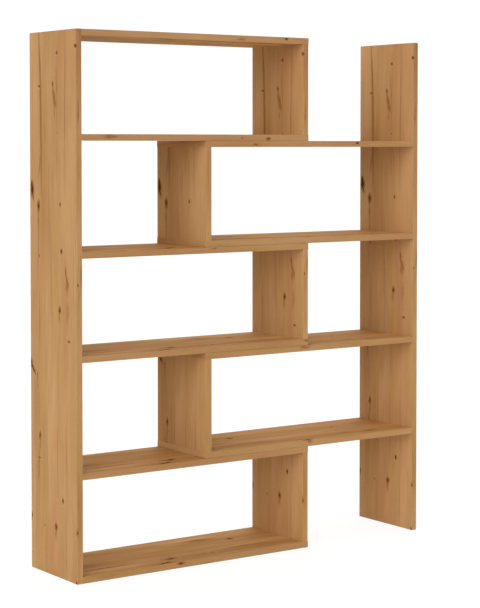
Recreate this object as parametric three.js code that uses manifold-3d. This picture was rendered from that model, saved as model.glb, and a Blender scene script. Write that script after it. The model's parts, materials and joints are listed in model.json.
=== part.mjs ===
// Extendable shelving unit: two units of flat boards that slide into each other along X.
// Millimetres, +Z up, +X to the right, and the front looks along -Y.
// The origin is on the floor, in the middle of the width and of the depth, with the units drawn out.
//
// Five modules of one size are stacked. Each is a floor board, a divider and a roof board.
// The side panel on the left carries the first, third and fifth, the one on the right the others.
import * as THREE from 'three';
import { mergeVertices } from 'three/addons/utils/BufferGeometryUtils.js';
import Module from 'manifold-3d';

const wasm = await Module();
wasm.setup();

// Driving dimensions of the boards
const boardThickness = 22;
const boardDepth = 320;
const shelfLength = 956;
const dividerHeight = 330;

// How the two units lie in each other
const slideGap = 0.5; // between two shelves that lie on each other
const endLip = 1.5; // a shelf's free end stands this far past its divider
const drawnOut = 503; // how far the units stand open, counted from fully closed

// Board screw with a countersunk head and a hex socket
const screwLength = 50;
const headRadius = 5;
const headRimHeight = 0.8;
const headConeHeight = 2.6;
const neckRadius = 3.5;
const neckLength = 10;
const threadRadius = 3;
const tipRadius = 1.2;
const tipLength = 4;
const socketWidth = 4; // across flats
const socketDepth = 2.6;

// How the screws sit in the boards
const screwInset = 50; // from a board's front or back edge
const headBelowFace = 0.5;
const screwClearance = 0.3;
const tipClearance = 2;
const cutOverrun = 2;
const roundSides = 8;
const socketSides = 6;

// Worked out from the sizes above
const tierPitch = dividerHeight + 2 * boardThickness + slideGap;
const shelfEndX = boardThickness + shelfLength;
const closedWidth = shelfEndX + boardThickness;
const overallWidth = closedWidth + drawnOut;
const dividerX = shelfEndX - endLip - boardThickness / 2;
const screwY = boardDepth / 2 - screwInset;

// The modules from the floor up, each with the side panel that carries it
const tiers = [
  { side: 'left', floor: 'bottom_panel', divider: 'left_divider_1', roof: 'left_shelf_1' },
  { side: 'right', floor: 'right_shelf_1', divider: 'right_divider_1', roof: 'right_shelf_2' },
  { side: 'left', floor: 'left_shelf_2', divider: 'left_divider_2', roof: 'left_shelf_3' },
  { side: 'right', floor: 'right_shelf_3', divider: 'right_divider_2', roof: 'right_shelf_4' },
  { side: 'left', floor: 'left_shelf_4', divider: 'left_divider_3', roof: 'top_panel' },
];
const overallHeight = tiers.length * tierPitch - slideGap;

const uprightOak = new THREE.MeshStandardMaterial({ color: 0xb68b5c, roughness: 0.6, metalness: 0 });
const levelOak = new THREE.MeshStandardMaterial({ color: 0xa97d50, roughness: 0.6, metalness: 0 });
const zincSteel = new THREE.MeshStandardMaterial({ color: 0xb4b6b8, roughness: 0.35, metalness: 1 });

// A closed three.js geometry as a solid that can be cut
function solidFrom(geometry) {
  const bare = geometry.clone();
  bare.deleteAttribute('normal');
  bare.deleteAttribute('uv');
  const merged = mergeVertices(bare);
  const vertProperties = new Float32Array(merged.attributes.position.array);
  const triVerts = new Uint32Array(merged.index.array);
  return new wasm.Manifold(new wasm.Mesh({ numProp: 3, vertProperties, triVerts }));
}

// A solid as a three.js geometry with flat shading
function geometryFrom(solid) {
  const mesh = solid.getMesh();
  const geometry = new THREE.BufferGeometry();
  geometry.setAttribute('position', new THREE.BufferAttribute(mesh.vertProperties, 3));
  geometry.setIndex(new THREE.BufferAttribute(mesh.triVerts, 1));
  geometry.computeVertexNormals();
  return geometry;
}

// A turned solid round Z, from [radius, z] points that run from the top down
function turned(points) {
  const profile = points.map(([radius, z]) => new THREE.Vector2(radius, z)).reverse();
  return new THREE.LatheGeometry(profile, roundSides).rotateX(Math.PI / 2);
}

// The screw stands on its tip with the middle of its head's face at the origin.
function makeScrew() {
  const coneEnd = headRimHeight + headConeHeight;
  const neckEnd = coneEnd + neckLength;
  const body = turned([
    [0, 0],
    [headRadius, 0],
    [headRadius, -headRimHeight],
    [neckRadius, -coneEnd],
    [neckRadius, -neckEnd],
    [threadRadius, -neckEnd - (neckRadius - threadRadius)],
    [threadRadius, tipLength - screwLength],
    [tipRadius, -screwLength],
    [0, -screwLength],
  ]);
  const cornerRadius = socketWidth / 2 / Math.cos(Math.PI / socketSides);
  const socketHeight = socketDepth + cutOverrun;
  const socket = new THREE.CylinderGeometry(cornerRadius, cornerRadius, socketHeight, socketSides);
  socket.rotateX(Math.PI / 2).translate(0, 0, socketHeight / 2 - socketDepth);
  return geometryFrom(solidFrom(body).subtract(solidFrom(socket)));
}

// The room that a screw takes in both boards, with the board's face at the origin
function makeScrewHole() {
  const coneStart = -headBelowFace - headRimHeight;
  const coneEnd = coneStart - headConeHeight;
  const neckEnd = coneEnd - neckLength - screwClearance;
  const bottom = -headBelowFace - screwLength - tipClearance;
  const headRoom = headRadius + screwClearance;
  const neckRoom = neckRadius + screwClearance;
  const threadRoom = threadRadius + screwClearance;
  return solidFrom(turned([
    [0, cutOverrun],
    [headRoom, cutOverrun],
    [headRoom, coneStart - screwClearance],
    [neckRoom, coneEnd - screwClearance],
    [neckRoom, neckEnd],
    [threadRoom, neckEnd - (neckRadius - threadRadius)],
    [threadRoom, bottom],
    [0, bottom],
  ]));
}

const screwGeometry = makeScrew();
const screwHole = makeScrewHole();

// The turn that points a screw, drawn along -Z, the way it is driven
function drivenTurn(direction) {
  const drawnDirection = new THREE.Vector3(0, 0, -1);
  return new THREE.Quaternion().setFromUnitVectors(drawnDirection, direction);
}

// A board as a mesh, drilled for each screw that goes through it or into it
function makeBoard({ name, size, centre, screws, material }) {
  let solid = solidFrom(new THREE.BoxGeometry(size.x, size.y, size.z));
  for (const screw of screws) {
    const place = new THREE.Matrix4().makeRotationFromQuaternion(drivenTurn(screw.direction));
    place.setPosition(screw.face.clone().sub(centre));
    solid = solid.subtract(screwHole.transform(place.elements));
  }
  const mesh = new THREE.Mesh(geometryFrom(solid), material);
  mesh.name = name;
  mesh.position.copy(centre);
  return mesh;
}

function makeScrewMesh({ name, face, direction }) {
  const mesh = new THREE.Mesh(screwGeometry, zincSteel);
  mesh.name = name;
  mesh.position.copy(face).addScaledVector(direction, headBelowFace);
  mesh.quaternion.copy(drivenTurn(direction));
  return mesh;
}

// One unit: its side panel and the modules that the panel carries.
// inward is 1 where the modules run along +X from the panel's outer face, which is at 0, and -1 along -X.
function makeUnit(side, inward) {
  const boards = [];
  const screws = [];

  function addBoard(name, size, centre, material) {
    const entry = { name, material, screws: [] };
    entry.size = new THREE.Vector3(...size);
    entry.centre = new THREE.Vector3(...centre);
    boards.push(entry);
    return entry;
  }

  function addScrewPair(label, through, into, x, z, direction) {
    for (const [place, y] of [['front', -screwY], ['back', screwY]]) {
      const face = new THREE.Vector3(x, y, z);
      const screw = { name: `${label}_screw_${place}`, face, direction: new THREE.Vector3(...direction) };
      through.screws.push(screw);
      into.screws.push(screw);
      screws.push(screw);
    }
  }

  const panelSize = [boardThickness, boardDepth, overallHeight];
  const panelCentre = [inward * boardThickness / 2, 0, overallHeight / 2];
  const panel = addBoard(`${side}_side_panel`, panelSize, panelCentre, uprightOak);

  tiers.forEach((tier, index) => {
    if (tier.side !== side) {
      return;
    }
    const floorBottom = index * tierPitch;
    const dividerBottom = floorBottom + boardThickness;
    const roofBottom = dividerBottom + dividerHeight;
    const roofTop = roofBottom + boardThickness;
    const shelfSize = [shelfLength, boardDepth, boardThickness];
    const shelfX = inward * (boardThickness + shelfLength / 2);
    const floor = addBoard(tier.floor, shelfSize, [shelfX, 0, floorBottom + boardThickness / 2], levelOak);
    const roof = addBoard(tier.roof, shelfSize, [shelfX, 0, roofBottom + boardThickness / 2], levelOak);
    const dividerSize = [boardThickness, boardDepth, dividerHeight];
    const dividerCentre = [inward * dividerX, 0, dividerBottom + dividerHeight / 2];
    const divider = addBoard(tier.divider, dividerSize, dividerCentre, uprightOak);
    for (const shelf of [floor, roof]) {
      addScrewPair(`${shelf.name}_side`, panel, shelf, 0, shelf.centre.z, [inward, 0, 0]);
    }
    addScrewPair(`${floor.name}_divider`, floor, divider, divider.centre.x, floorBottom, [0, 0, 1]);
    addScrewPair(`${roof.name}_divider`, roof, divider, divider.centre.x, roofTop, [0, 0, -1]);
  });

  const unit = new THREE.Group();
  unit.name = `${side}_unit`;
  unit.add(...boards.map(makeBoard), ...screws.map(makeScrewMesh));
  return unit;
}

const leftUnit = makeUnit('left', 1);
leftUnit.position.x = -overallWidth / 2;

const rightUnit = makeUnit('right', -1);
rightUnit.position.x = overallWidth / 2;

const shelvingUnit = new THREE.Group();
shelvingUnit.name = 'shelving_unit';
shelvingUnit.add(leftUnit, rightUnit);

export default shelvingUnit;
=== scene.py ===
# Looks of an extendable shelving unit: melamine-faced boards with an oak decor, edge bands,
# screws and cover caps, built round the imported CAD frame. Metres, +Z up, the front looks along -Y.
import json
import math

import bpy
from mathutils import Matrix, Vector


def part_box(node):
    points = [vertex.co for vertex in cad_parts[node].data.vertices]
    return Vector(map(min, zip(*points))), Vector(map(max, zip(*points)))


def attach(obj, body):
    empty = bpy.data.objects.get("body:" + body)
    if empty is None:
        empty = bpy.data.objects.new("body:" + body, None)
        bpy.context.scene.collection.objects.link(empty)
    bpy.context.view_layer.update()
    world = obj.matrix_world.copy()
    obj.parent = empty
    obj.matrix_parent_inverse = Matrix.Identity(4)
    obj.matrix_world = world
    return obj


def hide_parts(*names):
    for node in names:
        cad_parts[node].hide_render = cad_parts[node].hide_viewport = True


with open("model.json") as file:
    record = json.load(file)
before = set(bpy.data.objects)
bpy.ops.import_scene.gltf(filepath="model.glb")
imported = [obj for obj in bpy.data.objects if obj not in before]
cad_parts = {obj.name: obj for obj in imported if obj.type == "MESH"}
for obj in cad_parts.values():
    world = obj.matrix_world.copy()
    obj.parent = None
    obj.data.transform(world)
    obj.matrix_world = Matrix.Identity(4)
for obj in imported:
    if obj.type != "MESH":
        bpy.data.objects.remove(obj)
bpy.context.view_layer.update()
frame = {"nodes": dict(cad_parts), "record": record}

bl_info = {
    "name": "Extendable Shelving Unit",
    "version": (1, 0, 0),
    "blender": (4, 5, 0),
    "location": "View3D > Sidebar > Shelving",
    "description": "Dresses the packed frame of an extendable shelving unit",
    "category": "Object",
}

MM = 0.001
X, Y, Z = 0, 1, 2

BODY_OF = {n: b for b, ns in frame["record"]["behaviour"]["bodies"].items() for n in ns}
SCREWS = sorted(n for n in BODY_OF if "_screw_" in n)
BOARDS = sorted(n for n in BODY_OF if "_screw_" not in n)
SIDE_PANELS = [n for n in BOARDS if n.endswith("_side_panel")]
DIVIDERS = [n for n in BOARDS if "_divider_" in n]
LEVELS = [n for n in BOARDS if n not in SIDE_PANELS + DIVIDERS]
GLIDING_SHELVES = ["right_shelf_1", "left_shelf_2", "right_shelf_3", "left_shelf_4"]

LEFT_PANEL_LOW, LEFT_PANEL_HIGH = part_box("left_side_panel")
FRONT_Y = LEFT_PANEL_LOW.y
LEFT_FACE_X = LEFT_PANEL_LOW.x
UNIT_HEIGHT = LEFT_PANEL_HIGH.z / MM

# The marks of the printed decor, by kind. Each is how far across the grain it lies, how far along,
# its half width and its half length in millimetres, its tilt in degrees and how faint it is: 0 is
# full strength, and below 0 is stronger.
# On uprights, across is counted from the front edge and along from the floor.
UPRIGHT_MARKS = {
    "knots": [
        (4, 4, 4, 5, 0, 0),
        (2, 176, 3, 8, 0, 0.1),
        (144, 172, 6.4, 8.8, 0, 0.1),
        (97, 268, 4, 6, 0, -0.1),
        (260, 396, 7, 2.6, 0, 0.1),
        (255, 474, 5.4, 11, 0, 0.1),
        (317, 185, 4, 9, 0, 0.1),
        (51, 818, 6, 3, 0, 0.1),
        (114, 920, 6.2, 8.6, 0, 0.1),
        (102, 1121, 4.6, 6, 0, -0.15),
        (254, 1100, 2.4, 4, 0, 0.3),
        (109, 1281, 3.2, 4.4, 0, 0.1),
        (260, 1272, 6, 12, 0, -0.1),
        (128, 1525, 2.6, 4, 0, 0.5),
        (157, 1690, 4.6, 8, -10, 0.25),
        (128, 1796, 5.4, 4.6, 0, 0.1),
        (252, 1686, 5.6, 3.4, 0, 0.1),
        (6, 1815, 3.3, 3.6, 0, -0.4),
        (224, 166, 2.6, 5, 0, 0.5),
    ],
    "cracks": [
        (260, 1272, 4, 8, 0, 0),
        (298, 1304, 3, 9, -25, 0.1),
        (304, 1328, 7, 16, -4, 0),
        (307, 1346, 4.5, 9, 10, 0),
        (313, 1326, 3, 5, 0, 0.1),
        (271, 685, 3.4, 5, 0, 0.6),
        (286, 687, 2.6, 5, -20, 0.7),
        (299, 699, 3.8, 10, -50, 0.1),
        (309, 711, 4.4, 10, -46, 0),
        (317, 727, 4.6, 12, -20, 0),
    ],
    "streaks": [
        (60, 1000, 26, 60, 0, 0.9),
        (64, 1003, 12, 24, 0, 0.3),
        (56, 1010, 3.8, 10, -32, 0),
        (64, 1025, 4.4, 13, -26, -0.3),
        (73, 1054, 3.5, 20, -9, -0.1),
        (58, 905, 20, 110, -1, 0.95),
        (148, 1640, 26, 72, -4, 0.9),
        (146, 1592, 5, 22, -4, 0.5),
        (144, 1627, 9, 16, -8, 0.05),
        (147, 1648, 5, 13, -14, -0.35),
        (152, 1663, 4.6, 14, -10, -0.2),
        (133, 1700, 3, 60, -3, 0.5),
        (160, 1711, 3.4, 12, -20, 0.5),
        (240, 1590, 3.2, 100, 0, 0.3),
        (244, 1740, 3.2, 90, -1, 0.2),
        (260, 1264, 7, 24, 0, 0.5),
        (264, 362, 4, 44, 2, 0.2),
        (272, 662, 2.2, 28, 0, 0.1),
        (255, 448, 6, 46, 0, 0.35),
        (262, 1235, 5, 52, 0, 0.35),
        (116, 905, 9, 34, 0, 0.4),
        (146, 158, 9, 34, 0, 0.35),
    ],
    "lines": [
        (75, 150, 8, 220, 0.5, 0.6),
        (72, 430, 7, 230, 0, 0.6),
        (133, 400, 2.3, 140, 0, 0),
        (129, 700, 1.6, 110, 0, 0.3),
        (208, 450, 3, 160, 0, 0.3),
        (252, 1420, 3.2, 50, 10, -0.2),
        (242, 1520, 4.4, 120, 0, -0.6),
        (244, 1650, 3.6, 100, -2, -0.4),
        (250, 1790, 3.0, 110, -2, -0.2),
        (259, 1150, 2.6, 170, 3, 0.2),
        (256, 890, 2.6, 120, 0, 0.2),
        (168, 930, 2.2, 210, 0, 0.25),
        (186, 1290, 2.2, 170, 0, 0.3),
        (78, 1580, 3.6, 260, 0.5, 0.2),
        (117, 1430, 1.8, 60, -6, 0.1),
        (131, 1440, 1.8, 60, 4, 0.2),
        (127, 1700, 1.8, 140, 1, 0.2),
        (263, 600, 2.4, 110, 0, 0.2),
        (300, 1560, 3, 260, 0, 0.35),
        (20, 1050, 2.2, 330, 0, 0.35),
        (285, 260, 2.2, 240, 0, 0.35),
    ],
    "rose": [
        (165, 90, 70, 150, 0, 0.1),
        (60, 240, 34, 230, 0, 0.6),
        (110, 1790, 85, 160, 0, 0.1),
        (150, 455, 55, 120, 0, 0.25),
        (66, 1030, 24, 110, -4, 0.1),
        (150, 1640, 26, 110, 0, 0.2),
        (20, 1450, 28, 170, 0, 0.3),
        (290, 430, 26, 150, 0, 0.3),
    ],
    "olive": [
        (205, 620, 62, 130, 0, 0),
        (20, 660, 30, 330, 0, 0.2),
        (150, 1010, 60, 200, 0, 0.3),
        (60, 1250, 48, 170, 0, 0.2),
        (200, 1500, 34, 230, 0, 0.35),
        (275, 1790, 34, 110, 0, 0.2),
        (205, 250, 30, 170, 0, 0.35),
    ],
}

# On shelves, across is counted from the front edge and along from the left outer face.
LEVEL_MARKS = {
    "knots": [
        (10, 349, 5.5, 13, -12, 0),
        (18, 377, 5.5, 11, -14, 0),
        (58, 413, 8, 16, -14, 0.05),
        (60, 593, 5, 9, 0, 0.4),
        (203, 766, 8, 10, 0, 0),
        (12, 984, 6, 15, -12, 0),
        (196, 1240, 4, 7, 0, 0.35),
    ],
    "streaks": [
        (14, 360, 14, 46, -8, 0.2),
        (62, 405, 15, 44, -8, 0.2),
        (246, 652, 13, 52, 3, 0),
        (74, 165, 11, 120, 0, 0.4),
        (57, 1204, 9, 24, 0, 0.2),
        (50, 1310, 10, 34, 0, 0.1),
        (30, 960, 9, 50, 0, 0.3),
        (80, 760, 12, 130, 0, 0.5),
    ],
    "lines": [
        (128, 300, 2.4, 260, 0, 0.7),
        (168, 820, 2.4, 320, 0, 0.7),
        (226, 420, 2.6, 300, 0, 0.7),
        (38, 720, 2, 180, 0, 0.7),
        (98, 1120, 2.4, 260, 0, 0.7),
        (262, 1180, 2.6, 280, 0, 0.7),
        (288, 300, 2.6, 260, 0, 0.7),
        (28, 180, 2, 130, 0, 0.7),
    ],
    "rose": [
        (110, 230, 50, 190, 0, 0.2),
        (40, 840, 34, 150, 0, 0.2),
        (205, 1050, 60, 190, 0, 0.2),
        (245, 650, 28, 100, 0, 0.1),
        (130, 1400, 50, 140, 0, 0.2),
    ],
    "olive": [
        (170, 480, 50, 200, 0, 0.2),
        (60, 1090, 34, 130, 0, 0.3),
        (280, 900, 40, 220, 0, 0.3),
    ],
}

# On the front and back edges of shelves, across is the height above the floor.
LEVEL_BAND_MARKS = {
    "knots": [
        (1866, 876, 3.6, 5, 0, 0),
        (1505, 797, 4, 7, 0, 0),
        (1507, 681, 2, 3.4, 0, 0.2),
        (1490, 1208, 3.6, 5, 0, 0),
        (1485, 741, 2.4, 6, 0, 0.3),
        (16, 417, 3.8, 8, 0, 0),
    ],
    "streaks": [
        (1859, 680, 5, 18, 0, 0.2),
        (1512, 130, 7, 22, 0, 0.1),
        (1485, 745, 5, 18, 0, 0.2),
        (1118, 560, 4, 12, 0, 0.25),
        (742, 962, 6, 26, 0, 0.2),
        (766, 971, 5, 12, 0, 0.1),
        (391, 985, 5, 14, 0, 0.1),
        (17, 417, 6, 22, 0, 0.3),
    ],
}

# On the front and back edges of uprights, across is counted from their left face.
UPRIGHT_BAND_MARKS = {
    "knots": [
        (2, 1815, 2.2, 3.4, 0, 0.1),
        (3, 175, 2, 4, 0, 0.2),
        (6, 1011, 2, 4, 0, 0.1),
    ],
    "streaks": [
        (19, 1050, 4, 40, 0, 0.1),
        (5, 175, 4, 16, 0, 0.3),
        (9, 1600, 4, 60, 0, 0.4),
    ],
}


class ShelvingBoardSizes(bpy.types.PropertyGroup):
    """How the boards are edged and capped, and how big the glide strips are."""

    band_thickness: bpy.props.FloatProperty(
        name="Band thickness",
        description="Thickness of the edge band that is glued on a board's edge",
        default=0.8 * MM,
        min=0.3 * MM,
        max=3 * MM,
        precision=5,
        unit="LENGTH",
    )
    band_round: bpy.props.FloatProperty(
        name="Band rounding",
        description="Radius milled on the outer edges of a band",
        default=0.6 * MM,
        min=0.1 * MM,
        max=3 * MM,
        precision=5,
        unit="LENGTH",
    )
    core_chamfer: bpy.props.FloatProperty(
        name="Board chamfer",
        description="Width of the cut edge along a board's two faces",
        default=0.12 * MM,
        min=0.02 * MM,
        max=0.5 * MM,
        precision=5,
        unit="LENGTH",
    )
    cap_diameter: bpy.props.FloatProperty(
        name="Cap diameter",
        description="Diameter of the foil cap over a screw head",
        default=14 * MM,
        min=11 * MM,
        max=20 * MM,
        precision=4,
        unit="LENGTH",
    )
    cap_thickness: bpy.props.FloatProperty(
        name="Cap thickness",
        description="Thickness of the foil cap over a screw head",
        default=0.35 * MM,
        min=0.1 * MM,
        max=1 * MM,
        precision=5,
        unit="LENGTH",
    )
    glide_width: bpy.props.FloatProperty(
        name="Glide width",
        description="Width of the foil strip under the free end of a shelf that lies on another",
        default=20 * MM,
        min=14 * MM,
        max=40 * MM,
        precision=4,
        unit="LENGTH",
    )
    glide_thickness: bpy.props.FloatProperty(
        name="Glide thickness",
        description="Thickness of that foil strip, less than the gap between the shelves",
        default=0.4 * MM,
        min=0.1 * MM,
        max=0.45 * MM,
        precision=5,
        unit="LENGTH",
    )


class ShelvingDecorColours(bpy.types.PropertyGroup):
    """The colours of the printed oak decor, the raw board and the zinc."""

    honey: bpy.props.FloatVectorProperty(
        name="Honey",
        description="Main colour of the decor",
        default=(0.493, 0.275, 0.115),
        min=0,
        max=1,
        subtype="COLOR",
    )
    pale: bpy.props.FloatVectorProperty(
        name="Pale",
        description="Lightest lanes of the decor",
        default=(0.650, 0.392, 0.196),
        min=0,
        max=1,
        subtype="COLOR",
    )
    rose: bpy.props.FloatVectorProperty(
        name="Rose",
        description="Reddish staves of the decor",
        default=(0.494, 0.247, 0.103),
        min=0,
        max=1,
        subtype="COLOR",
    )
    olive: bpy.props.FloatVectorProperty(
        name="Olive",
        description="Yellowish staves of the decor",
        default=(0.480, 0.274, 0.094),
        min=0,
        max=1,
        subtype="COLOR",
    )
    streak: bpy.props.FloatVectorProperty(
        name="Streak",
        description="Dark lanes and grain lines of the decor",
        default=(0.212, 0.066, 0.011),
        min=0,
        max=1,
        subtype="COLOR",
    )
    rust: bpy.props.FloatVectorProperty(
        name="Rust",
        description="Soft brown streaks and the rims of knots in the decor",
        default=(0.268, 0.106, 0.023),
        min=0,
        max=1,
        subtype="COLOR",
    )
    knot: bpy.props.FloatVectorProperty(
        name="Knot",
        description="Heart of a knot or crack in the decor",
        default=(0.090, 0.024, 0.003),
        min=0,
        max=1,
        subtype="COLOR",
    )
    chip: bpy.props.FloatVectorProperty(
        name="Chipboard",
        description="Raw chipboard where a board has no face or band",
        default=(0.42, 0.29, 0.155),
        min=0,
        max=1,
        subtype="COLOR",
    )
    glide: bpy.props.FloatVectorProperty(
        name="Glide foil",
        description="Brown foil on which the shelves slide",
        default=(0.13, 0.075, 0.04),
        min=0,
        max=1,
        subtype="COLOR",
    )
    zinc: bpy.props.FloatVectorProperty(
        name="Zinc",
        description="Zinc plating of the screws",
        default=(0.60, 0.61, 0.62),
        min=0,
        max=1,
        subtype="COLOR",
    )


class ShelvingStage(bpy.types.PropertyGroup):
    """The camera's lens and the soft light of the room."""

    lens: bpy.props.FloatProperty(
        name="Lens",
        description="Focal length of the camera in millimetres",
        default=106.0,
        min=20,
        max=300,
        unit="CAMERA",
    )
    left_window: bpy.props.FloatProperty(
        name="Left window",
        description="Soft light from in front on the left",
        default=2.65,
        min=0,
        soft_max=10,
    )
    side_window: bpy.props.FloatProperty(
        name="Side window",
        description="Soft light from the left",
        default=2.05,
        min=0,
        soft_max=10,
    )
    front_window: bpy.props.FloatProperty(
        name="Front skylight",
        description="Soft light from high up in front",
        default=2.2,
        min=0,
        soft_max=10,
    )
    back_window: bpy.props.FloatProperty(
        name="Back skylight",
        description="Soft light from high up behind on the right",
        default=3.5,
        min=0,
        soft_max=10,
    )
    ceiling: bpy.props.FloatProperty(
        name="Ceiling",
        description="Soft light from straight above",
        default=0.3,
        min=0,
        soft_max=10,
    )


class Wire:
    """One output in a finish's node tree. Arithmetic on it adds Math nodes."""

    def __init__(self, finish, socket):
        self.finish = finish
        self.socket = socket

    def math(self, operation, *others):
        return self.finish.math(operation, self, *others)

    def __add__(self, other):
        return self.math("ADD", other)

    def __radd__(self, other):
        return self.finish.math("ADD", other, self)

    def __sub__(self, other):
        return self.math("SUBTRACT", other)

    def __rsub__(self, other):
        return self.finish.math("SUBTRACT", other, self)

    def __mul__(self, other):
        return self.math("MULTIPLY", other)

    def __rmul__(self, other):
        return self.finish.math("MULTIPLY", other, self)


class Finish:
    """A material whose nodes are being laid out."""

    def __init__(self, name):
        self.material = bpy.data.materials.new(name)
        self.material.use_nodes = True
        self.tree = self.material.node_tree
        self.tree.nodes.clear()

    @classmethod
    def on_tree(cls, tree):
        """A finish on a tree that is there already, such as the world's."""
        finish = cls.__new__(cls)
        finish.material = None
        finish.tree = tree
        tree.nodes.clear()
        return finish

    def node(self, kind, settings=None, sockets=None, out=0):
        """Adds a node, makes its settings, then gives each socket its value or link."""
        made = self.tree.nodes.new(kind)
        for key, value in (settings or {}).items():
            setattr(made, key, value)
        for key, value in (sockets or {}).items():
            if isinstance(value, Wire):
                self.tree.links.new(value.socket, made.inputs[key])
            else:
                made.inputs[key].default_value = value
        return Wire(self, made.outputs[out]) if made.outputs else None

    def math(self, operation, *values):
        return self.node("ShaderNodeMath", {"operation": operation}, dict(enumerate(values)))

    def step(self, value, start, end, low=0.0, high=1.0):
        """Goes softly from low to high as the value goes from start to end."""
        settings = {"interpolation_type": "SMOOTHSTEP"}
        sockets = {0: value, 1: start, 2: end, 3: low, 4: high}
        return self.node("ShaderNodeMapRange", settings, sockets)

    def mix(self, share, first, second, blend="MIX"):
        """Mixes two colours."""
        settings = {"data_type": "RGBA", "blend_type": blend}
        return self.node("ShaderNodeMix", settings, {0: share, 6: first, 7: second}, out=2)

    def noise(self, place, cell, detail=2.0, roughness=0.5, out=0):
        """Cloudy noise whose bumps have the cell's size across and along the grain."""
        sockets = {0: place, 1: (1 / cell[0], 1 / cell[1], 1)}
        steps = self.node("ShaderNodeVectorMath", {"operation": "MULTIPLY"}, sockets)
        sockets = {"Vector": steps, "Scale": 1.0, "Detail": detail, "Roughness": roughness}
        return self.node("ShaderNodeTexNoise", {"noise_dimensions": "3D"}, sockets, out)

    def ragged(self, place, reach, cell):
        """The place, moved to and fro by up to reach, in bumps of the cell's size."""
        jolt = self.noise(place, cell, 2.0, 0.6, out="Color")
        sockets = {0: jolt, 1: (0.5, 0.5, 0.5)}
        centred = self.node("ShaderNodeVectorMath", {"operation": "SUBTRACT"}, sockets)
        sockets = {0: centred, 1: (*reach, 0), 2: place}
        return self.node("ShaderNodeVectorMath", {"operation": "MULTIPLY_ADD"}, sockets)

    def bump(self, height, strength, depth):
        """A normal from a height between 0 and 1 that stands for that depth."""
        sockets = {"Strength": strength, "Distance": depth, "Height": height}
        return self.node("ShaderNodeBump", None, sockets)

    def object_place(self):
        """Where the point lies on the piece, in metres."""
        return self.node("ShaderNodeTexCoord", None, None, out="Object")

    def surface(self, colour, roughness, normal, metallic=0.0, gloss=0.5):
        """Ends the tree in a Principled surface."""
        sockets = {
            "Base Color": colour,
            "Roughness": roughness,
            "Metallic": metallic,
            "Specular IOR Level": gloss,
            "Normal": normal,
        }
        shader = self.node("ShaderNodeBsdfPrincipled", None, sockets)
        self.node("ShaderNodeOutputMaterial", {"target": "ALL"}, {0: shader})
        return self.material


def rgba(colour, gain=1.0):
    return (*(c * gain for c in colour), 1.0)


def grain_place(finish, across_axis, across_zero, along_axis, along_zero):
    """Millimetres across and along the grain, read from two of the object's own axes."""
    coordinates = finish.object_place()
    axes = [finish.node("ShaderNodeSeparateXYZ", None, {0: coordinates}, out=i) for i in range(3)]
    across = (axes[across_axis] - across_zero) * (1 / MM)
    along = (axes[along_axis] - along_zero) * (1 / MM)
    return across, along


# A mark goes right through the pattern's third direction, so it has this half depth.
EVERY_DEPTH = 1e5

# How far along the grain a mark still shows past its own length, in millimetres
MARK_REACH = 60


def nearest_mark(finish, place, marks, kind):
    """Distance to the nearest mark of a kind, where 1 is the mark's edge, or None without marks."""
    nearest = None
    for across, along, half_width, half_length, tilt, faint in marks.get(kind, []):
        sockets = {
            0: place,
            1: (across, along, 0),
            2: (0, 0, math.radians(tilt)),
            3: (half_width, half_length, EVERY_DEPTH),
        }
        local = finish.node("ShaderNodeMapping", {"vector_type": "TEXTURE"}, sockets)
        distance = finish.node("ShaderNodeVectorMath", {"operation": "LENGTH"}, {0: local}, out=1)
        if faint:
            distance = distance + faint
        nearest = distance if nearest is None else nearest.math("MINIMUM", distance)
    return nearest


def within(marks, low, high):
    """The marks that show between two places along the grain, in millimetres."""

    def shows(mark):
        along, half_length = mark[1], mark[3]
        return along + half_length + MARK_REACH > low and along - half_length - MARK_REACH < high

    return {kind: [mark for mark in table if shows(mark)] for kind, table in marks.items()}


# One bump of each noise of the decor, across and along the grain in millimetres
WANDER_CELL = (120, 420)
STAVE_CELL = (36, 1100)
LANE_CELL = (80, 720)
COARSE_CELL = (11.0, 220)
FINE_CELL = (1.6, 80)
PORE_CELL = (0.42, 9.0)
THREAD_CELL = (5.0, 42)

# How far the rims of knots and of streaks are torn, and one bump of the tearing
TORN_REACH, TORN_CELL = (9.0, 14.0), (7.0, 14.0)
FRAYED_REACH, FRAYED_CELL = (6.0, 24.0), (5.0, 18.0)
THREAD_REACH = 2.2

# How far the grain wanders, and how far a knot pushes it aside, in millimetres
WANDER = 16.0
KNOT_PUSH = 7.0

# Where each part of the drawing begins and where it is full, in its noise or round its marks, whose
# edge is at 1
PUSHED_BY_KNOT = (4.5, 0.6)
ROSE_STAVES = (0.52, 0.70)
OLIVE_STAVES = (0.48, 0.32)
STAVE_ZONES = (1.35, 0.1)
COARSE_LINES = (0.52, 0.78)
FINE_LINES = (0.48, 0.72)
PORES = (0.60, 0.74)
LONG_LINES = (1.8, 0.2)
STREAKS = (1.7, 0.2)

# How strong each part is
ZONE_TINT = 0.8
COARSE_DARKNESS = 0.13
FINE_DARKNESS = 0.08
PORE_DARKNESS = 0.16
LONG_DARKNESS = 0.56

# Dark lines and streaks are weaker between fibres, and lines also in pale lanes: where they are
# weakest, where they are full, and how strong they are at both
FIBRES = (0.25, 0.7, 0.6, 1.0)
LINES_BY_LANE = (0.64, 0.42, 0.55, 1.0)

# How steeply the lanes turn paler or darker, and how far at most
PALE_LANES = (3.6, 0.8)
DARK_LANES = (2.2, 0.5)

# Where a board is painted paler towards its front and its back edge, as painted light near the open
# edges, and the back edge's share
FRONT_PAINTED_LIGHT = (190, 10)
BACK_PAINTED_LIGHT = (170, 290)
BACK_PAINTED_LIGHT_SHARE = 0.9

# The rings of a knot and of a crack from outside in: where each begins, where it is full, how
# strong it is and its colour
KNOT_RINGS = [(3.6, 2.3, 0.14, "pale"), (2.5, 0.9, 0.85, "rust"), (1.15, 0.4, 0.95, "knot")]
CRACK_RINGS = [(2.7, 1.0, 0.85, "rust"), (1.25, 0.6, 1.0, "knot")]

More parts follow.
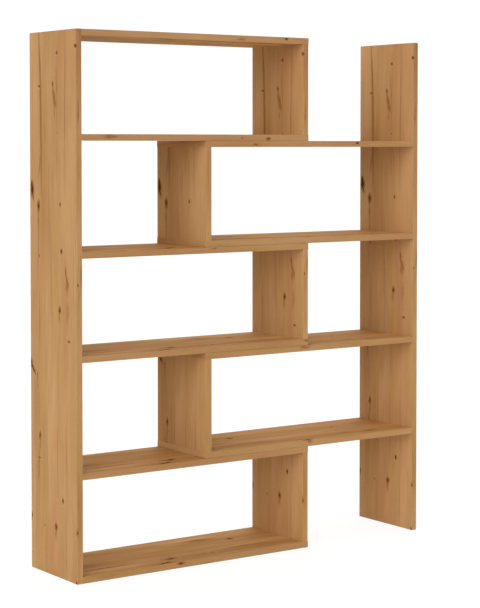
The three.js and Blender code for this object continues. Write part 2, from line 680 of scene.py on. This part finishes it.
# The depth of the printed relief, and each part's share of it
DECOR_DEPTH = 0.06 * MM
DECOR_BUMP = 0.35
PORE_HOLLOW = 0.5
FINE_HOLLOW = 0.25
KNOT_HOLLOW = (1.1, 0.5, 0.0, 0.5)
CRACK_HOLLOW = (1.2, 0.5, 0.0, 0.8)

DECOR_GLOSS = 0.02
DECOR_ROUGHNESS = 0.66
LANE_ROUGHNESS = 0.15
PORE_ROUGHNESS = 0.12


def oak_decor(name, axes, marks, shift=0.0, gain=(1, 1, 1), slope=0.0, lane=1.0):
    """The printed oak decor.

    axes says which axes run across and along the grain, and from where. shift picks another part of
    the pattern, and lane is how strong the lanes are. gain multiplies all of it: a tint, which on the
    shelves' faces and the left unit's upright edges is painted light. slope is how much paler it is
    painted near the two edges, as painted light.
    """
    colours = bpy.context.scene.shelving_colours
    f = Finish(name)

    def tinted(colour, share, tint):
        return f.mix(share, colour, rgba(getattr(colours, tint)))

    def ringed(colour, distance, rings):
        for start, full, strength, tint in rings:
            colour = tinted(colour, f.step(distance, start, full, 0.0, strength), tint)
        return colour

    across, along = grain_place(f, *axes)
    flat_place = f.node("ShaderNodeCombineXYZ", None, {0: across, 1: along, 2: shift})

    # The grain wanders slowly from side to side.
    wander = f.noise(flat_place, WANDER_CELL)
    wavered = across + (wander - 0.5) * WANDER
    grain = f.node("ShaderNodeCombineXYZ", None, {0: wavered, 1: along, 2: shift})
    torn = f.ragged(flat_place, TORN_REACH, TORN_CELL)

    knot_at = nearest_mark(f, torn, marks, "knots")
    if knot_at is not None:
        # Growth lines pass round a knot.
        pushed = wavered + f.step(knot_at, *PUSHED_BY_KNOT, 0.0, KNOT_PUSH)
        grain = f.node("ShaderNodeCombineXYZ", None, {0: pushed, 1: along, 2: shift})

    # Staves of slightly different hue
    stave = f.noise(grain, STAVE_CELL, 2.0, 0.6)
    colour = tinted(rgba(colours.honey), f.step(stave, *ROSE_STAVES), "rose")
    colour = tinted(colour, f.step(stave, *OLIVE_STAVES), "olive")
    for tint in ("rose", "olive"):
        zone_at = nearest_mark(f, flat_place, marks, tint)
        if zone_at is not None:
            colour = tinted(colour, f.step(zone_at, *STAVE_ZONES, 0.0, ZONE_TINT), tint)

    # Pale and dark lanes of all widths, from staves down to single growth lines
    lanes = f.noise(grain, LANE_CELL, 5.0, 0.62)
    for away, (steepness, most), tint in (
        (lanes - 0.5, PALE_LANES, "pale"),
        (0.5 - lanes, DARK_LANES, "streak"),
    ):
        share = away * (steepness * lane)
        colour = tinted(colour, share.math("MAXIMUM", 0.0).math("MINIMUM", most), tint)

    # Painted light: the board is painted paler towards its front and back edges.
    if slope:
        colour = tinted(colour, f.step(across, *FRONT_PAINTED_LIGHT) * slope, "pale")
        colour = tinted(colour, f.step(across, *BACK_PAINTED_LIGHT) * (slope * BACK_PAINTED_LIGHT_SHARE), "pale")

    # Growth lines and pores
    coarse = f.noise(grain, COARSE_CELL, 2.0, 0.55)
    fine = f.noise(grain, FINE_CELL, 3.0, 0.65)
    pores = f.noise(grain, PORE_CELL, 1.0, 0.5)
    coarse_dark = f.step(coarse, *COARSE_LINES)
    fine_dark = f.step(fine, *FINE_LINES)
    pore_dark = f.step(pores, *PORES)
    colour = tinted(colour, coarse_dark * COARSE_DARKNESS, "streak")
    colour = tinted(colour, fine_dark * FINE_DARKNESS, "streak")
    colour = tinted(colour, pore_dark * PORE_DARKNESS, "streak")

    # Dark lines and soft brown streaks
    fibres = f.step(fine, *FIBRES)
    line_at = nearest_mark(f, grain, marks, "lines")
    if line_at is not None:
        line_dark = f.step(line_at, *LONG_LINES) * f.step(lanes, *LINES_BY_LANE) * fibres
        colour = tinted(colour, line_dark * LONG_DARKNESS, "streak")
    frayed = f.ragged(flat_place, FRAYED_REACH, FRAYED_CELL)
    streak_at = nearest_mark(f, frayed, marks, "streaks")
    if streak_at is not None:
        threads = f.noise(flat_place, THREAD_CELL, 2.0, 0.65)
        streak_at = streak_at + (0.5 - threads) * THREAD_REACH
        colour = tinted(colour, f.step(streak_at, *STREAKS) * fibres, "rust")

    roughness = DECOR_ROUGHNESS + (lanes - 0.5) * LANE_ROUGHNESS + pore_dark * PORE_ROUGHNESS
    height = 1.0 - pore_dark * PORE_HOLLOW - fine_dark * FINE_HOLLOW

    # Knots have a pale ring, a brown rim and a dark heart, and knots and cracks are hollow.
    if knot_at is not None:
        colour = ringed(colour, knot_at, KNOT_RINGS)
        height = height - f.step(knot_at, *KNOT_HOLLOW)
    crack_at = nearest_mark(f, torn, marks, "cracks")
    if crack_at is not None:
        colour = ringed(colour, crack_at, CRACK_RINGS)
        height = height - f.step(crack_at, *CRACK_HOLLOW)

    colour = f.mix(1.0, colour, (*gain, 1), "MULTIPLY")
    return f.surface(colour, roughness, f.bump(height, DECOR_BUMP, DECOR_DEPTH), gloss=DECOR_GLOSS)


CHIPS_PER_METRE = 520.0
DARK_CHIP, PALE_CHIP = 0.62, 1.18
DUST_GRAIN = (0.6 * MM, 0.6 * MM)
CHIP_DEPTH = 0.3 * MM


def raw_chipboard(name):
    """Glued chips where a board is bare."""
    colours = bpy.context.scene.shelving_colours
    f = Finish(name)
    place = f.object_place()
    flakes = f.node(
        "ShaderNodeTexVoronoi",
        {"feature": "F1", "distance": "MINKOWSKI"},
        {"Vector": place, "Scale": CHIPS_PER_METRE, "Exponent": 1.2, "Randomness": 1.0},
        out="Color",
    )
    shade = f.node("ShaderNodeSeparateColor", None, {0: flakes})
    dust = f.noise(place, DUST_GRAIN, 3.0, 0.6)
    chips = (rgba(colours.chip, DARK_CHIP), rgba(colours.chip, PALE_CHIP))
    colour = f.mix(f.step(shade, 0.1, 0.9), *chips)
    colour = f.mix(f.step(dust, 0.55, 0.75) * 0.5, colour, rgba(colours.streak, 1.4))
    return f.surface(colour, 0.9, f.bump(shade + dust, 0.6, CHIP_DEPTH))


FOIL_GRAIN = (0.6 * MM, 0.6 * MM)
RUBBED_CELL = (20 * MM, 4 * MM)
RUBBED_GAIN = 1.3
FOIL_DEPTH = 0.05 * MM


def glide_foil(name):
    """Brown foil with a fine grain, rubbed paler here and there."""
    colours = bpy.context.scene.shelving_colours
    f = Finish(name)
    place = f.object_place()
    rubbed = f.noise(place, RUBBED_CELL, 3.0, 0.6)
    grain = f.noise(place, FOIL_GRAIN, 2.0, 0.5)
    foils = (rgba(colours.glide), rgba(colours.glide, RUBBED_GAIN))
    colour = f.mix(f.step(rubbed, 0.35, 0.7), *foils)
    return f.surface(colour, 0.45 + rubbed * 0.2, f.bump(grain, 0.3, FOIL_DEPTH))


ZINC_PATCH = (4 * MM, 4 * MM)
ZINC_SPECK = (0.4 * MM, 0.4 * MM)
ZINC_WARMTH = (1.06, 1.0, 0.86)
ZINC_DEPTH = 0.05 * MM


def zinc_plating(name):
    """Bright zinc with a faint blue and yellow cast and dull patches."""
    colours = bpy.context.scene.shelving_colours
    f = Finish(name)
    place = f.object_place()
    patches = f.noise(place, ZINC_PATCH, 3.0, 0.6)
    specks = f.noise(place, ZINC_SPECK, 2.0, 0.5)
    warm = tuple(c * g for c, g in zip(colours.zinc, ZINC_WARMTH))
    colour = f.mix(f.step(patches, 0.40, 0.66), rgba(colours.zinc), rgba(warm))
    roughness = 0.30 + patches * 0.16 + f.step(specks, 0.5, 0.8) * 0.12
    return f.surface(colour, roughness, f.bump(specks, 0.2, ZINC_DEPTH), metallic=1.0)


def finish_named(name, maker, *details, **choices):
    """The material of that name, made the first time it is asked for."""
    return bpy.data.materials.get(name) or maker(name, *details, **choices)


# How each kind of surface shows the decor. As painted light, the uprights are painted paler near
# their front and back edges, the shelves' faces, tops and undersides alike, are painted lighter and a
# little warmer than the uprights, and the left unit's upright edges are painted lighter than the
# right unit's.
UPRIGHT_LOOK = {"shift": 94.53, "slope": 0.16, "lane": 0.68}
# The gain paints the shelves' faces lighter and a little warmer: painted light from above.
LEVEL_LOOK_WITH_PAINTED_LIGHT = {"shift": 300.0, "gain": (1.12, 1.11, 0.99)}
LEVEL_BAND_LOOK = {"shift": 600.0, "gain": (1.045, 1.025, 1.03), "lane": 0.5}
UPRIGHT_BAND_LOOK = {"shift": 900.0, "lane": 0.7}
# Painted light: the left unit's upright edges are painted lighter than the right unit's.
UPRIGHT_BAND_PAINTED_LIGHT = {"left_unit": (1.075, 1.07, 1.045), "right_unit": (1.02, 1.02, 1.0)}
END_BAND_LOOK = {"shift": 1200.0}


def upright_finish(name, low=0.0, high=UNIT_HEIGHT):
    axes = (Y, FRONT_Y, Z, 0.0)
    return finish_named(name, oak_decor, axes, within(UPRIGHT_MARKS, low, high), **UPRIGHT_LOOK)


def level_finish(name, low, high):
    axes = (Y, FRONT_Y, X, LEFT_FACE_X)
    return finish_named(name, oak_decor, axes, within(LEVEL_MARKS, low, high), **LEVEL_LOOK_WITH_PAINTED_LIGHT)


def level_band_finish():
    axes = (Z, 0.0, X, LEFT_FACE_X)
    name = "oak_decor_shelf_edges"
    return finish_named(name, oak_decor, axes, LEVEL_BAND_MARKS, **LEVEL_BAND_LOOK)


def upright_band_finish(name, board):
    axes = (X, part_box(board)[0].x, Z, 0.0)
    # On the left unit's edges this gain is painted light.
    gain = UPRIGHT_BAND_PAINTED_LIGHT[BODY_OF[board]]
    return finish_named(name, oak_decor, axes, UPRIGHT_BAND_MARKS, gain=gain, **UPRIGHT_BAND_LOOK)


def end_band_finish(name, across_axis):
    axes = (across_axis, 0.0, Y, FRONT_Y)
    return finish_named(name, oak_decor, axes, {}, **END_BAND_LOOK)


def deselect_all():
    bpy.ops.object.select_all(action="DESELECT")


def make_active(piece):
    deselect_all()
    piece.select_set(True)
    bpy.context.view_layer.objects.active = piece


def add_block(name, low, high):
    """A block between two corners, with its place in its mesh."""
    deselect_all()
    bpy.ops.mesh.primitive_cube_add(size=1, location=(low + high) / 2)
    block = bpy.context.active_object
    block.name = name
    block.data.name = name
    block.scale = high - low
    bpy.ops.object.transform_apply(location=True, rotation=False, scale=True)
    return block


def edit_with(piece, kind, parts, wanted):
    """Goes into edit mode with those of its edges or faces selected for which wanted says yes."""
    make_active(piece)
    bpy.ops.object.mode_set(mode="EDIT")
    bpy.ops.mesh.select_mode(type=kind)
    bpy.ops.mesh.select_all(action="DESELECT")
    bpy.ops.object.mode_set(mode="OBJECT")
    for part in getattr(piece.data, parts):
        part.select = wanted(part)
    bpy.ops.object.mode_set(mode="EDIT")


def bevel_edges(piece, wanted, width, segments):
    """Bevels the edges for whose two ends wanted says yes."""

    def has_wanted_ends(edge):
        first, second = (piece.data.vertices[i].co for i in edge.vertices)
        return wanted(first, second)

    edit_with(piece, "EDGE", "edges", has_wanted_ends)
    bpy.ops.mesh.bevel(offset=width, segments=segments, affect="EDGES")
    bpy.ops.object.mode_set(mode="OBJECT")


# Points nearer to a plane than this lie on it.
SAME_PLANE = 0.001 * MM


def on_plane(axis, value):
    """Says whether both ends of an edge lie at that value of the axis."""
    return lambda *ends: all(abs(end[axis] - value) < SAME_PLANE for end in ends)


BAND_ROUND_SEGMENTS = 3
CHAMFER_SEGMENTS = 1


def add_strip(name, low, high, outer, butts):
    """One strip of edge band: its outer plane is milled, but not where it meets a board."""
    strip = add_block(name, low, high)
    is_outer = on_plane(*outer)
    is_butt = [on_plane(*plane) for plane in butts]
    sizes = bpy.context.scene.shelving_sizes

    def wanted(a, b):
        return is_outer(a, b) and not any(butt(a, b) for butt in is_butt)

    bevel_edges(strip, wanted, sizes.band_round, BAND_ROUND_SEGMENTS)
    return strip


def free_end(board):
    """The way a shelf's free end looks: 1 along +X, -1 along -X."""
    return 1 if BODY_OF[board] == "left_unit" else -1


def core_box(board):
    """The corners of a board without its edge bands."""
    thickness = bpy.context.scene.shelving_sizes.band_thickness
    low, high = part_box(board)
    low.y += thickness
    high.y -= thickness
    if board in SIDE_PANELS:
        high.z -= thickness
    if board in LEVELS and free_end(board) > 0:
        high.x -= thickness
    if board in LEVELS and free_end(board) < 0:
        low.x += thickness
    return low, high


# A screw's end is its head where it is wider than this radius, within this distance of the end.
WIDEST_TIP = 4 * MM
END_SLICE = 0.1 * MM


def screw_line(name):
    """The middle of a screw's head face and the way the screw is driven."""
    low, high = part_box(name)
    size = high - low
    axis = max(range(3), key=lambda i: size[i])
    middle = (low + high) / 2
    direction = Vector((0, 0, 0))
    head = middle.copy()
    along = Vector([float(i == axis) for i in range(3)])
    points = [vertex.co for vertex in frame["nodes"][name].data.vertices]
    at_low = [p for p in points if p[axis] < low[axis] + END_SLICE]
    head_is_low = max((p - middle).cross(along).length for p in at_low) > WIDEST_TIP
    head[axis] = low[axis] if head_is_low else high[axis]
    direction[axis] = 1 if head_is_low else -1
    return head, direction


# The room of a screw in the boards, as radius and height from the board's face, in millimetres
DRILL_PROFILE = [
    (5.3, 1.0),
    (5.3, -1.6),
    (3.8, -4.2),
    (3.8, -14.2),
    (3.3, -14.7),
    (3.3, -52.5),
]
DRILL_SIDES = 24
HEAD_BELOW_FACE = 0.5 * MM


def make_drill():
    """The room of one screw, driven along -Z, with the board's face at the origin."""
    deselect_all()
    radius, height = DRILL_PROFILE[0]
    bpy.ops.mesh.primitive_circle_add(
        vertices=DRILL_SIDES, radius=radius * MM, fill_type="NGON", location=(0, 0, height * MM)
    )
    drill = bpy.context.active_object
    bpy.ops.object.transform_apply(location=True, rotation=True, scale=True)
    bpy.ops.object.mode_set(mode="EDIT")
    bpy.ops.mesh.select_all(action="SELECT")
    for next_radius, next_height in DRILL_PROFILE[1:]:
        move = {"value": (0, 0, (next_height - height) * MM)}
        bpy.ops.mesh.extrude_region_move(TRANSFORM_OT_translate=move)
        if next_radius != radius:
            ratio = next_radius / radius
            bpy.ops.transform.resize(value=(ratio, ratio, 1))
        radius, height = next_radius, next_height
    bpy.ops.mesh.select_all(action="SELECT")
    bpy.ops.mesh.normals_make_consistent(inside=False)
    bpy.ops.object.mode_set(mode="OBJECT")
    return drill


def copy_to(source, name, point, direction):
    """A copy whose mesh is turned from -Z to the direction and moved to the point."""
    copied = bpy.data.objects.new(name, source.data.copy())
    bpy.context.scene.collection.objects.link(copied)
    turn = Vector((0, 0, -1)).rotation_difference(direction)
    copied.data.transform(Matrix.Translation(point) @ turn.to_matrix().to_4x4())
    return copied


def touches(board, screw):
    (a_low, a_high), (b_low, b_high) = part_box(board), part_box(screw)
    return all(a_low[i] < b_high[i] and b_low[i] < a_high[i] for i in range(3))


def drill_board(core, board, drill):
    """Cuts the room of each screw that goes through the board or into it."""
    cutters = []
    for screw in SCREWS:
        if touches(board, screw):
            head, direction = screw_line(screw)
            cutters.append(copy_to(drill, "drill", head - direction * HEAD_BELOW_FACE, direction))
    make_active(cutters[0])
    for cutter in cutters[1:]:
        cutter.select_set(True)
    bpy.ops.object.join()
    cutter = bpy.context.active_object
    make_active(core)
    cut = core.modifiers.new("screw_holes", "BOOLEAN")
    cut.operation = "DIFFERENCE"
    cut.solver = "EXACT"
    cut.object = cutter
    bpy.ops.object.modifier_apply(modifier=cut.name)
    bpy.data.objects.remove(cutter)


# The faces of a board and their chamfers lie no deeper than this under its two planes.
FACE_DEPTH = 0.2 * MM


def paint_core(core, face_axis, decor):
    """Gives the two faces the decor and everything else raw chipboard."""
    heights = [vertex.co[face_axis] for vertex in core.data.vertices]
    planes = (min(heights), max(heights))
    core.data.materials.append(decor)
    core.data.materials.append(finish_named("raw_chipboard", raw_chipboard))
    for polygon in core.data.polygons:
        near_face = min(abs(polygon.center[face_axis] - plane) for plane in planes) < FACE_DEPTH
        is_face = near_face and abs(polygon.normal[face_axis]) > 0.5
        polygon.material_index = 0 if is_face else 1


def build_core(board, face_axis, decor, drill):
    """A board without its bands: faced chipboard with thin chamfers and its screw holes."""
    low, high = core_box(board)
    core = add_block(f"{board}_board", low, high)
    ends = [on_plane(face_axis, low[face_axis]), on_plane(face_axis, high[face_axis])]
    chamfer = bpy.context.scene.shelving_sizes.core_chamfer
    bevel_edges(core, lambda a, b: any(end(a, b) for end in ends), chamfer, CHAMFER_SEGMENTS)
    drill_board(core, board, drill)
    paint_core(core, face_axis, decor)
    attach(core, BODY_OF[board])
    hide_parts(board)


def build_bands(board, decors, strips):
    """Joins a board's strips into one piece. Each strip is its object and which decor it has."""
    for strip, index in strips:
        for decor in decors:
            strip.data.materials.append(decor)
        for polygon in strip.data.polygons:
            polygon.material_index = index
    make_active(strips[0][0])
    for strip, _ in strips[1:]:
        strip.select_set(True)
    bpy.ops.object.join()
    bands = bpy.context.active_object
    bands.name = f"{board}_edge_bands"
    bands.data.name = bands.name
    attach(bands, BODY_OF[board])


def long_strips(board, butts):
    """The front and back strips of a board."""
    low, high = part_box(board)
    thickness = bpy.context.scene.shelving_sizes.band_thickness
    front = add_strip("front", low, Vector((high.x, low.y + thickness, high.z)), (Y, low.y), butts)
    back = add_strip("back", Vector((low.x, high.y - thickness, low.z)), high, (Y, high.y), butts)
    return [(front, 0), (back, 0)]


def end_strip(name, board, axis, side):
    """The strip across a board's end, between its long strips. side is 1 or -1."""
    low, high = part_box(board)
    thickness = bpy.context.scene.shelving_sizes.band_thickness
    low.y += thickness
    high.y -= thickness
    if side > 0:
        outer = high[axis]
        low[axis] = outer - thickness
    else:
        outer = low[axis]
        high[axis] = outer + thickness
    return add_strip(name, low, high, (axis, outer), [(Y, low.y), (Y, high.y)]), 1


class SHELVING_OT_side_panels(bpy.types.Operator):
    """Build the two tall side panels with their edge bands"""

    bl_idname = "shelving.side_panels"
    bl_label = "Side Panels"

    def execute(self, context):
        drill = make_drill()
        for board in SIDE_PANELS:
            build_core(board, X, upright_finish("oak_decor_side_panels"), drill)
            floor_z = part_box(board)[0].z
            strips = [*long_strips(board, [(Z, floor_z)]), end_strip("top", board, Z, 1)]
            side_band = upright_band_finish(f"oak_decor_{board}_edges", board)
            build_bands(board, [side_band, end_band_finish("oak_decor_panel_tops", X)], strips)
        bpy.data.objects.remove(drill)
        return {"FINISHED"}


class SHELVING_OT_shelves(bpy.types.Operator):
    """Build the shelves, the bottom panel and the top panel with their edge bands"""

    bl_idname = "shelving.shelves"
    bl_label = "Shelves"

    def execute(self, context):
        drill = make_drill()
        for board in LEVELS:
            low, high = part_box(board)
            span = [(x - LEFT_FACE_X) / MM for x in (low.x, high.x)]
            build_core(board, Z, level_finish(f"oak_decor_{BODY_OF[board]}_shelves", *span), drill)
            side = free_end(board)
            butt_x = low.x if side > 0 else high.x
            strips = [*long_strips(board, [(X, butt_x)]), end_strip("end", board, X, side)]
            decors = [level_band_finish(), end_band_finish("oak_decor_shelf_ends", Z)]
            build_bands(board, decors, strips)
        bpy.data.objects.remove(drill)
        return {"FINISHED"}


class SHELVING_OT_dividers(bpy.types.Operator):
    """Build the five short dividers with their edge bands"""

    bl_idname = "shelving.dividers"
    bl_label = "Dividers"

    def execute(self, context):
        drill = make_drill()
        for board in DIVIDERS:
            low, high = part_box(board)
            decor = upright_finish(f"oak_decor_{board}", low.z / MM, high.z / MM)
            build_core(board, X, decor, drill)
            strips = long_strips(board, [(Z, low.z), (Z, high.z)])
            side_band = upright_band_finish(f"oak_decor_{BODY_OF[board]}_divider_edges", board)
            build_bands(board, [side_band], strips)
        bpy.data.objects.remove(drill)
        return {"FINISHED"}


# How far a glide strip stays back from the edges of its shelf, and the rounding of its own edges
GLIDE_INSET = 1.5 * MM
GLIDE_ROUND_SHARE = 0.5
GLIDE_ROUND_SEGMENTS = 2


class SHELVING_OT_glide_strips(bpy.types.Operator):
    """Stick a foil strip under the free end of each shelf that slides on another"""

    bl_idname = "shelving.glide_strips"
    bl_label = "Glide Strips"

    def execute(self, context):
        sizes = context.scene.shelving_sizes
        for board in GLIDING_SHELVES:
            low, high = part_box(board)
            low.y += GLIDE_INSET
            high.y -= GLIDE_INSET
            if free_end(board) > 0:
                high.x -= GLIDE_INSET
                low.x = high.x - sizes.glide_width
            else:
                low.x += GLIDE_INSET
                high.x = low.x + sizes.glide_width
            high.z = low.z
            low.z -= sizes.glide_thickness
            strip = add_block(f"{board}_glide_strip", low, high)
            rounding = sizes.glide_thickness * GLIDE_ROUND_SHARE
            bevel_edges(strip, on_plane(Z, low.z), rounding, GLIDE_ROUND_SEGMENTS)
            strip.data.materials.append(finish_named("glide_foil", glide_foil))
            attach(strip, BODY_OF[board])
        return {"FINISHED"}


CAP_SIDES = 48
CAP_ROUND_SHARE = 0.6
CAP_ROUND_SEGMENTS = 2

# The foil of a cap sinks a little where there is no board under it.
CAP_RIM = 1.6 * MM
CAP_SLOPE = 0.5 * MM
CAP_SINK = 0.06 * MM
SMOOTH_ANGLE = math.radians(30)


def make_cap():
    """A foil cap that looks along +Z, with its underside at the origin."""
    sizes = bpy.context.scene.shelving_sizes
    thickness = sizes.cap_thickness
    deselect_all()
    bpy.ops.mesh.primitive_cylinder_add(
        vertices=CAP_SIDES,
        radius=sizes.cap_diameter / 2,
        depth=thickness,
        location=(0, 0, thickness / 2),
    )
    cap = bpy.context.active_object
    bpy.ops.object.transform_apply(location=True, rotation=True, scale=True)
    rounding = thickness * CAP_ROUND_SHARE
    bevel_edges(cap, on_plane(Z, thickness), rounding, CAP_ROUND_SEGMENTS)

    def is_top(face):
        return face.normal.z > 0.99 and face.center.z > 0.9 * thickness

    edit_with(cap, "FACE", "polygons", is_top)
    bpy.ops.mesh.inset(thickness=CAP_RIM, depth=0)
    bpy.ops.mesh.inset(thickness=CAP_SLOPE, depth=-CAP_SINK)
    bpy.ops.object.mode_set(mode="OBJECT")
    bpy.ops.object.shade_smooth_by_angle(angle=SMOOTH_ANGLE)
    return cap


class SHELVING_OT_cover_caps(bpy.types.Operator):
    """Stick a foil cap over each screw head on the outside of the panels and on top"""

    bl_idname = "shelving.cover_caps"
    bl_label = "Cover Caps"

    def execute(self, context):
        cap = make_cap()
        for screw in SCREWS:
            if "_side_screw_" in screw:
                decor = bpy.data.materials["oak_decor_side_panels"]
            elif screw.startswith("top_panel_divider"):
                decor = bpy.data.materials["oak_decor_left_unit_shelves"]
            else:
                continue
            head, direction = screw_line(screw)
            name = screw.replace("_screw_", "_screw_cap_")
            placed = copy_to(cap, name, head - direction * HEAD_BELOW_FACE, direction)
            placed.data.materials.append(decor)
            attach(placed, BODY_OF[screw])
        bpy.data.objects.remove(cap)
        return {"FINISHED"}


class SHELVING_OT_screws(bpy.types.Operator):
    """Give the screws of the frame their zinc plating"""

    bl_idname = "shelving.screws"
    bl_label = "Screws"

    def execute(self, context):
        plating = finish_named("zinc_plating", zinc_plating)
        for screw in SCREWS:
            data = frame["nodes"][screw].data
            data.materials.clear()
            data.materials.append(plating)
        return {"FINISHED"}


CAMERA_PLACE = (-3.7582, -5.3670, 1.4893)
CAMERA_PITCH = 2.2
CAMERA_YAW = 35.2343
CAMERA_SHIFT = -0.1514
SENSOR_WIDTH = 36
FLOOR_SIZE = 30.0
FLOOR_DROP = 0.2 * MM

# The floor as the camera sees it, nearly white whatever falls on it, and as it lights the object,
# where it also glows within the outer distance, fully within the inner one
SEEN_FLOOR_GREY, SEEN_FLOOR_GLOW = 0.16, 0.895
FLOOR_GREY, FLOOR_GLOW = 0.7, 0.24
GLOW_ENDS, GLOW_FULL = 3.0, 1.0

# The strength of the background that the camera sees
BACKGROUND = 1.05

# Where the room's soft light comes from: the setting that has its strength, how far round to the
# left of the front it lies and how high, in degrees, and how narrow it is
ROOM_LIGHTS = [
    ("left_window", 50, 8, 12),
    ("side_window", 75, 8, 12),
    ("front_window", 45, 45, 8),
    ("back_window", 230, 45, 8),
    ("ceiling", 0, 90, 5),
]


def plainly_seen(finish):
    """1 for what the camera sees straight, in metal or through glass, and 0 for what only lights."""
    rays = ("Is Camera Ray", "Is Glossy Ray", "Is Transmission Ray")
    camera, glossy, through = (finish.node("ShaderNodeLightPath", None, None, out=ray) for ray in rays)
    return camera.math("MAXIMUM", glossy).math("MAXIMUM", through)


def white_floor(name):
    """A white floor that shows only a faint shadow, and nothing when seen from below."""
    f = Finish(name)

    def glowing(grey, glow):
        matt = f.node("ShaderNodeBsdfDiffuse", None, {0: (grey, grey, grey, 1)})
        light = f.node("ShaderNodeEmission", None, {0: (1, 1, 1, 1), 1: glow})
        return f.node("ShaderNodeAddShader", None, {0: matt, 1: light})

    away = f.node("ShaderNodeVectorMath", {"operation": "LENGTH"}, {0: f.object_place()}, out=1)
    lights = glowing(FLOOR_GREY, f.step(away, GLOW_ENDS, GLOW_FULL, 0.0, FLOOR_GLOW))
    seen = glowing(SEEN_FLOOR_GREY, SEEN_FLOOR_GLOW)
    above = f.node("ShaderNodeMixShader", None, {0: plainly_seen(f), 1: lights, 2: seen})
    below = f.node("ShaderNodeNewGeometry", None, None, out="Backfacing")
    clear = f.node("ShaderNodeBsdfTransparent", None, None)
    both = f.node("ShaderNodeMixShader", None, {0: below, 1: above, 2: clear})
    f.node("ShaderNodeOutputMaterial", {"target": "ALL"}, {0: both})
    return f.material


def light_world(stage):
    """Soft room light from a few sides, on a background that the camera sees as white."""
    world = bpy.data.worlds.new("room")
    world.use_nodes = True
    f = Finish.on_tree(world.node_tree)
    outwards = f.node("ShaderNodeTexCoord", None, None, out="Generated")
    level = None
    for key, left_turn, height, narrowness in ROOM_LIGHTS:
        round_left, up = math.radians(left_turn), math.radians(height)
        flat = math.cos(up)
        towards = (-math.sin(round_left) * flat, -math.cos(round_left) * flat, math.sin(up))
        sockets = {0: outwards, 1: towards}
        facing = f.node("ShaderNodeVectorMath", {"operation": "DOT_PRODUCT"}, sockets, out=1)
        glow = facing.math("MAXIMUM", 0.0).math("POWER", narrowness) * getattr(stage, key)
        level = glow if level is None else level + glow
    strength = level + plainly_seen(f) * (BACKGROUND - level)
    background = f.node("ShaderNodeBackground", None, {0: (1, 1, 1, 1), 1: strength})
    f.node("ShaderNodeOutputWorld", None, {0: background})
    bpy.context.scene.world = world


class SHELVING_OT_stage(bpy.types.Operator):
    """Set up the camera, the room light and the white floor"""

    bl_idname = "shelving.stage"
    bl_label = "Stage"

    def execute(self, context):
        stage = context.scene.shelving_stage
        deselect_all()
        turn = (math.radians(90 - CAMERA_PITCH), 0, math.radians(-CAMERA_YAW))
        bpy.ops.object.camera_add(location=CAMERA_PLACE, rotation=turn)
        camera = bpy.context.active_object
        camera.data.sensor_fit = "AUTO"
        camera.data.sensor_width = SENSOR_WIDTH
        camera.data.lens = stage.lens
        camera.data.shift_y = CAMERA_SHIFT
        context.scene.camera = camera

        light_world(stage)

        deselect_all()
        bpy.ops.mesh.primitive_plane_add(size=FLOOR_SIZE, location=(0, 0, -FLOOR_DROP))
        floor = bpy.context.active_object
        floor.name = "floor"
        floor.data.materials.append(finish_named("white_floor", white_floor))
        context.scene.view_settings.view_transform = "Standard"
        return {"FINISHED"}


BUILD_ORDER = [
    SHELVING_OT_side_panels,
    SHELVING_OT_shelves,
    SHELVING_OT_dividers,
    SHELVING_OT_glide_strips,
    SHELVING_OT_cover_caps,
    SHELVING_OT_screws,
    SHELVING_OT_stage,
]


class SHELVING_PT_sidebar(bpy.types.Panel):
    """Lists the steps and the settings of the shelving unit"""

    bl_label = "Shelving"
    bl_idname = "SHELVING_PT_sidebar"
    bl_space_type = "VIEW_3D"
    bl_region_type = "UI"
    bl_category = "Shelving"

    def draw(self, context):
        for operator in BUILD_ORDER:
            self.layout.operator(operator.bl_idname)
        scene = context.scene
        for group in (scene.shelving_sizes, scene.shelving_colours, scene.shelving_stage):
            box = self.layout.box()
            for key in group.bl_rna.properties.keys():
                if key not in ("rna_type", "name"):
                    box.prop(group, key)


GROUPS = {
    "shelving_sizes": ShelvingBoardSizes,
    "shelving_colours": ShelvingDecorColours,
    "shelving_stage": ShelvingStage,
}


def register():
    for group in GROUPS.values():
        bpy.utils.register_class(group)
    for key, group in GROUPS.items():
        setattr(bpy.types.Scene, key, bpy.props.PointerProperty(type=group))
    for operator in BUILD_ORDER:
        bpy.utils.register_class(operator)
    bpy.utils.register_class(SHELVING_PT_sidebar)


def unregister():
    bpy.utils.unregister_class(SHELVING_PT_sidebar)
    for operator in reversed(BUILD_ORDER):
        bpy.utils.unregister_class(operator)
    for key in GROUPS:
        delattr(bpy.types.Scene, key)
    for group in GROUPS.values():
        bpy.utils.unregister_class(group)


def main():
    register()
    for operator in BUILD_ORDER:
        group, step = operator.bl_idname.split(".")
        getattr(getattr(bpy.ops, group), step)()


if __name__ == "__main__":
    main()
